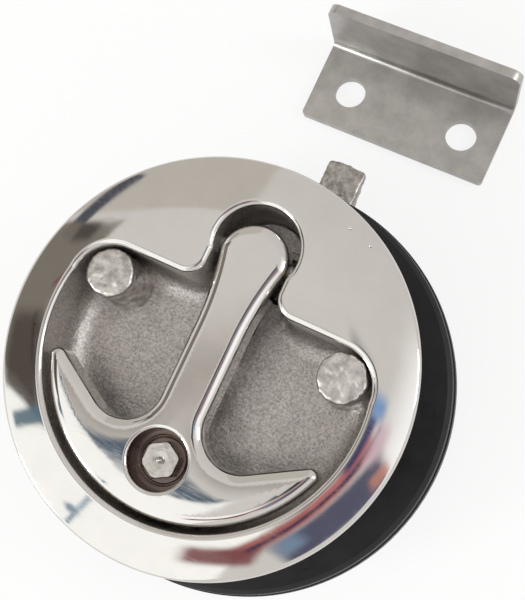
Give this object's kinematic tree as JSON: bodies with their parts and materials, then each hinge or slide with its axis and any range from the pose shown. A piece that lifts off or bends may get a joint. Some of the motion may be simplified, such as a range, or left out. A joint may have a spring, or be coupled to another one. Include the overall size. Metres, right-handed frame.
{
  "type": "flush T-handle slam latch",
  "caption": "Round flush latch with an anchor-shaped lift handle, a sprung wedge bolt, a threaded clamp ring and a loose angle strike.",
  "frame": {"origin": "on the round flange's axis, at the flange's seat face, where the panel's outer surface comes", "axes": "+Z out of the flange towards the user, +Y along the handle's stem towards the bolt, +X to the right"},
  "size_m": [0.128, 0.1843, 0.0823],
  "materials": {
    "polished_casting": "mirror polished cast stainless steel, bead blasted inside the cup",
    "turned_steel": "turned and milled stainless steel",
    "machined_steel": "machined stainless steel",
    "satin_sheet": "satin stainless sheet",
    "rough_casting": "rough cast stainless steel",
    "spring_steel": "bright spring wire",
    "grey_alloy": "cast alloy, as cast",
    "black_nylon": "matte moulded nylon",
    "white_plastic": "natural acetal",
    "rubber_seal": "matte black rubber"
  },
  "bodies": {
    "root": {"flange_cup": "polished_casting", "handle_pin": "machined_steel", "mechanism_frame": "satin_sheet", "guide_rods": "machined_steel", "guide_plate": "satin_sheet", "bolt_housing": "grey_alloy", "rear_cover": "satin_sheet", "flange_gasket": "rubber_seal", "strike_plate": "satin_sheet", "bolt_spring_pin": "machined_steel", "yoke_springs": "spring_steel", "bolt_spring": "spring_steel"},
    "handle": {"handle": "polished_casting"},
    "lock": {"lock_spindle": "turned_steel", "lock_oring": "rubber_seal", "lock_cam": "machined_steel", "lock_clip": "machined_steel"},
    "yoke": {"yoke": "satin_sheet", "yoke_bushes": "white_plastic"},
    "bolt": {"bolt": "rough_casting"},
    "clamp_ring": {"clamp_ring": "black_nylon"}
  },
  "joints": [
    {"name": "handle_lift", "type": "hinge", "parent": "root", "child": "handle", "pos_m": [0, 0.03, -0.005], "axis": [-1, 0, 0], "range_deg": [0, 50], "stiffness_Nm_per_rad": 0.35, "springref_deg": -22.92},
    {"name": "lock_turn", "type": "hinge", "parent": "handle", "child": "lock", "pos_m": [0, -0.027, 0], "axis": [0, 0, -1], "range_deg": [0, 90]},
    {"name": "yoke_pull", "type": "slide", "parent": "root", "child": "yoke", "axis": [0, -1, 0], "range_m": [0, 0.0149], "deforming": ["yoke_springs"]},
    {"name": "bolt_slam", "type": "slide", "parent": "yoke", "child": "bolt", "axis": [0, -1, 0], "range_m": [0, 0.0145], "stiffness_N_per_m": 350, "springref_m": -0.02, "deforming": ["bolt_spring"]},
    {"name": "clamp_ring_travel", "type": "slide", "parent": "root", "child": "clamp_ring", "axis": [0, 0, 1], "range_m": [0, 0.0455]}
  ],
  "couplings": [
    {"joint": "yoke_pull", "follows": "handle_lift", "m_per_rad": 0.01696}
  ]
}
